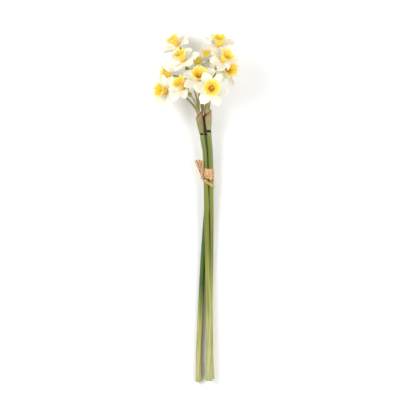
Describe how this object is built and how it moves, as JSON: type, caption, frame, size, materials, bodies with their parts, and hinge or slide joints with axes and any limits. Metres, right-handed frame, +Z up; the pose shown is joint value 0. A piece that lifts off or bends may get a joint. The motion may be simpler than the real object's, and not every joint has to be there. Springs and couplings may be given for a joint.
{
  "type": "artificial daffodil bunch",
  "caption": "Artificial daffodils with cream tepals and yellow trumpets on long green stems, tied with raffia; a decorative bunch that lies on its side or goes in a vase.",
  "frame": {"origin": "centre of the bounding box's footprint, on the surface that the bunch lies on", "axes": "+Y along the stems from the cut ends towards the flowers, +Z up from the surface, +X to the right as seen from above"},
  "size_m": [0.1328, 0.5096, 0.1375],
  "materials": {
    "stem_plastic": "soft matt moulded green, paler towards the cut ends",
    "sheath_fabric": "papery khaki with a reddish slanted margin",
    "stalk_plastic": "matt olive green",
    "tepal_fabric": "matt cream fabric with fine veins",
    "trumpet_fabric": "matt yellow fabric, orange in the throat",
    "raffia_fibre": "dry tan fibre with fine lengthwise streaks"
  },
  "bodies": {
    "root": {"stem_1": "stem_plastic", "sheath_1": "sheath_fabric", "stem_2": "stem_plastic", "sheath_2": "sheath_fabric", "stem_3": "stem_plastic", "sheath_3": "sheath_fabric", "outer_tepals_01": "tepal_fabric", "inner_tepals_01": "tepal_fabric", "trumpet_01": "trumpet_fabric", "stalk_01": "stalk_plastic", "outer_tepals_02": "tepal_fabric", "inner_tepals_02": "tepal_fabric", "trumpet_02": "trumpet_fabric", "stalk_02": "stalk_plastic", "outer_tepals_03": "tepal_fabric", "inner_tepals_03": "tepal_fabric", "trumpet_03": "trumpet_fabric", "stalk_03": "stalk_plastic", "outer_tepals_04": "tepal_fabric", "inner_tepals_04": "tepal_fabric", "trumpet_04": "trumpet_fabric", "stalk_04": "stalk_plastic", "outer_tepals_05": "tepal_fabric", "inner_tepals_05": "tepal_fabric", "trumpet_05": "trumpet_fabric", "stalk_05": "stalk_plastic", "outer_tepals_06": "tepal_fabric", "inner_tepals_06": "tepal_fabric", "trumpet_06": "trumpet_fabric", "stalk_06": "stalk_plastic", "outer_tepals_07": "tepal_fabric", "inner_tepals_07": "tepal_fabric", "trumpet_07": "trumpet_fabric", "stalk_07": "stalk_plastic", "outer_tepals_08": "tepal_fabric", "inner_tepals_08": "tepal_fabric", "trumpet_08": "trumpet_fabric", "stalk_08": "stalk_plastic", "outer_tepals_09": "tepal_fabric", "inner_tepals_09": "tepal_fabric", "trumpet_09": "trumpet_fabric", "stalk_09": "stalk_plastic", "outer_tepals_10": "tepal_fabric", "inner_tepals_10": "tepal_fabric", "trumpet_10": "trumpet_fabric", "stalk_10": "stalk_plastic", "outer_tepals_11": "tepal_fabric", "inner_tepals_11": "tepal_fabric", "trumpet_11": "trumpet_fabric", "stalk_11": "stalk_plastic", "outer_tepals_12": "tepal_fabric", "inner_tepals_12": "tepal_fabric", "trumpet_12": "trumpet_fabric", "stalk_12": "stalk_plastic", "raffia_band": "raffia_fibre", "raffia_strand": "raffia_fibre", "raffia_knot": "raffia_fibre", "raffia_tail": "raffia_fibre"}
  },
  "joints": []
}
